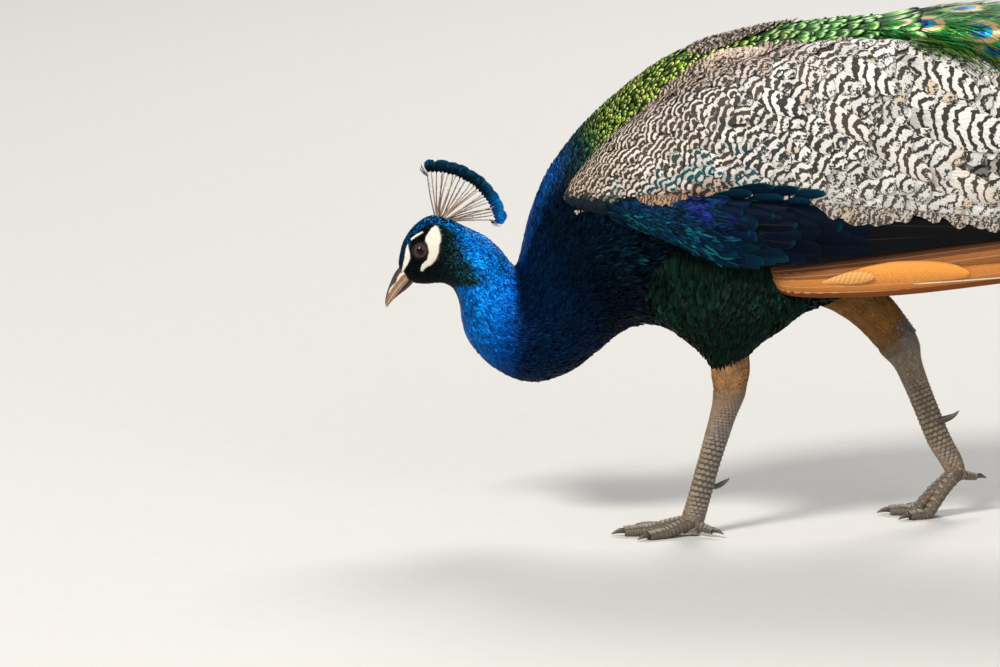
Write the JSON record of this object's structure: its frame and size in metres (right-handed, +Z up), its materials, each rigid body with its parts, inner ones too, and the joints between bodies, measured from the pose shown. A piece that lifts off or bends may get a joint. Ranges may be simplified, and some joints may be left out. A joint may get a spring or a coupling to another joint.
{
  "type": "peacock",
  "caption": "Life-size peacock walking with its head lowered, its neck drawn back, its wings folded and its long train lying back to the floor.",
  "frame": {"origin": "centre of the floor rectangle that the whole bird covers", "axes": "the bird faces -X with its train towards +X, its left side towards -Y, and +Z up"},
  "size_m": [2.0444, 0.3318, 0.5264],
  "materials": {
    "blue_plumage": "silky, iridescent azure blue",
    "navy_plumage": "silky, deep navy with a blue sheen",
    "green_plumage": "small glossy scale-like feathers, green to gold",
    "bottle_green_plumage": "near black with a bottle-green gloss",
    "crest_feathers": "bare pale shafts with blue-green tips",
    "bill_horn": "worn horn, satin",
    "eye": "wet, dark brown",
    "barred_feathers": "cream with dark brown wavy bars",
    "dark_feathers": "black-brown with blue and teal gloss",
    "chestnut_feathers": "matt cinnamon quills",
    "tail_feathers": "grey-brown quills",
    "train_feathers": "loose bronze-green barbs with eyespots",
    "buff_shank": "short buff down",
    "leg_scales": "grey-brown horny scales",
    "claw_horn": "dark horn, satin"
  },
  "bodies": {
    "root": {"head": "blue_plumage", "neck_upper": "blue_plumage", "neck_lower": "navy_plumage", "trunk": "green_plumage", "crest": "crest_feathers", "bill_upper": "bill_horn", "bill_lower": "bill_horn", "eye_left": "eye", "eye_right": "eye", "wing_left": "barred_feathers", "wing_right": "barred_feathers", "secondaries_left": "dark_feathers", "secondaries_right": "dark_feathers", "primaries_left": "chestnut_feathers", "primaries_right": "chestnut_feathers", "tail": "tail_feathers", "train_base": "train_feathers", "train_middle": "train_feathers", "train_end": "train_feathers", "thigh_left": "bottle_green_plumage", "thigh_right": "bottle_green_plumage", "shank_left": "buff_shank", "shank_right": "buff_shank", "tarsus_left": "leg_scales", "tarsus_right": "leg_scales", "foot_left": "leg_scales", "foot_right": "leg_scales", "claw_inner_left": "claw_horn", "claw_middle_left": "claw_horn", "claw_outer_left": "claw_horn", "claw_hind_left": "claw_horn", "claw_inner_right": "claw_horn", "claw_middle_right": "claw_horn", "claw_outer_right": "claw_horn", "claw_hind_right": "claw_horn", "spur_left": "claw_horn", "spur_right": "claw_horn"}
  },
  "joints": []
}
